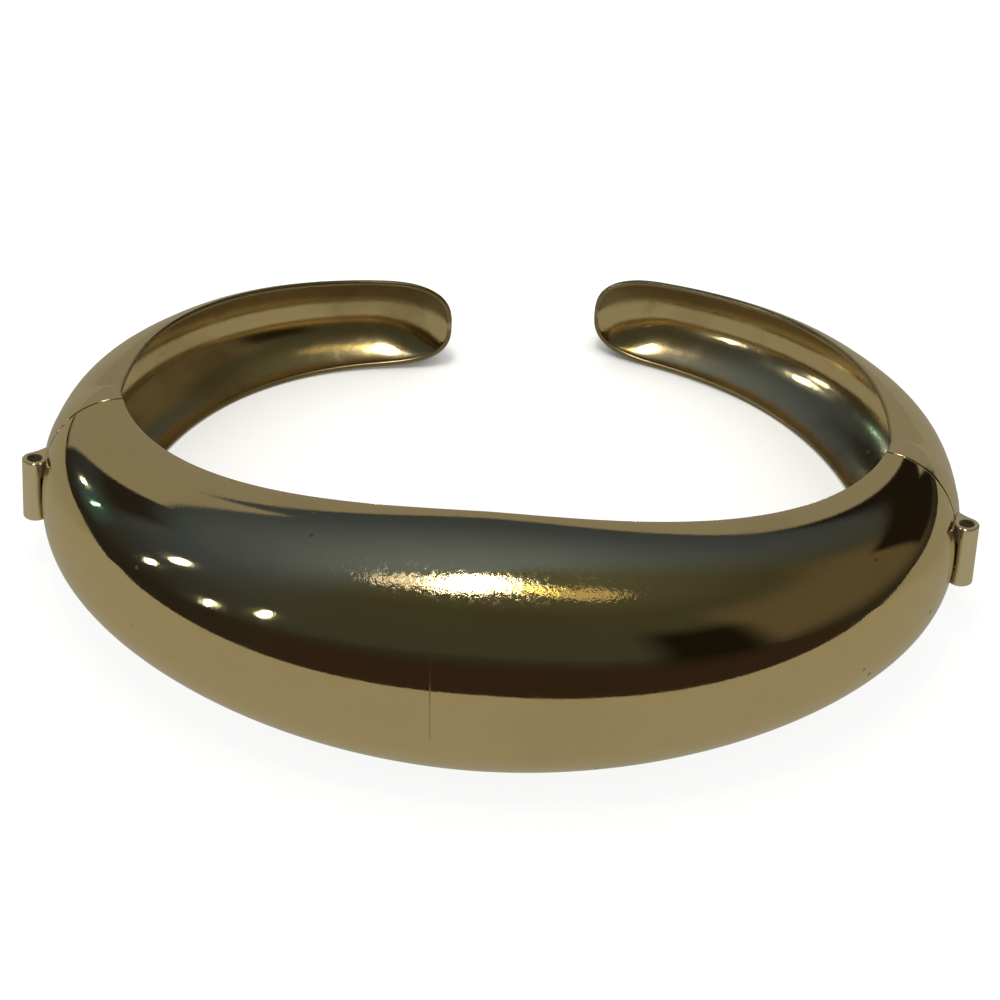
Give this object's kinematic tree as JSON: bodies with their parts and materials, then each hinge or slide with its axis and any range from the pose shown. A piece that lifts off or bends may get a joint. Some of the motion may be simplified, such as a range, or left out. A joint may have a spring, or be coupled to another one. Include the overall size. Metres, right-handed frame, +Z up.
{
  "type": "hinged bangle",
  "caption": "Polished brass cuff bangle with a wide puffed front and tapering rear arms that swing open on rolled barrel hinges.",
  "frame": {"origin": "middle of the bangle's box, on the surface that it lies on", "axes": "+Z up from the surface, -Y towards the wide puffed front, +X from the left hinge to the right hinge"},
  "size_m": [0.072, 0.0602, 0.0197],
  "materials": {
    "front_brass": "polished",
    "arm_brass": "polished",
    "pin_steel": "plain"
  },
  "bodies": {
    "front": {"front_shell": "front_brass"},
    "left_arm": {"left_arm": "arm_brass", "left_hinge_pin": "pin_steel"},
    "right_arm": {"right_arm": "arm_brass", "right_hinge_pin": "pin_steel"}
  },
  "joints": [
    {"name": "left_hinge", "type": "hinge", "parent": "front", "child": "left_arm", "pos_m": [-0.03502, -0.00519, 0.00773], "axis": [-0.0059, 0.1248, 0.9922], "range_deg": [0, 28], "stiffness_Nm_per_rad": 0.04, "springref_deg": -22.92},
    {"name": "right_hinge", "type": "hinge", "parent": "front", "child": "right_arm", "pos_m": [0.03501, -0.00519, 0.00814], "axis": [0.0059, -0.1248, -0.9922], "range_deg": [0, 28], "stiffness_Nm_per_rad": 0.04, "springref_deg": -22.92}
  ]
}
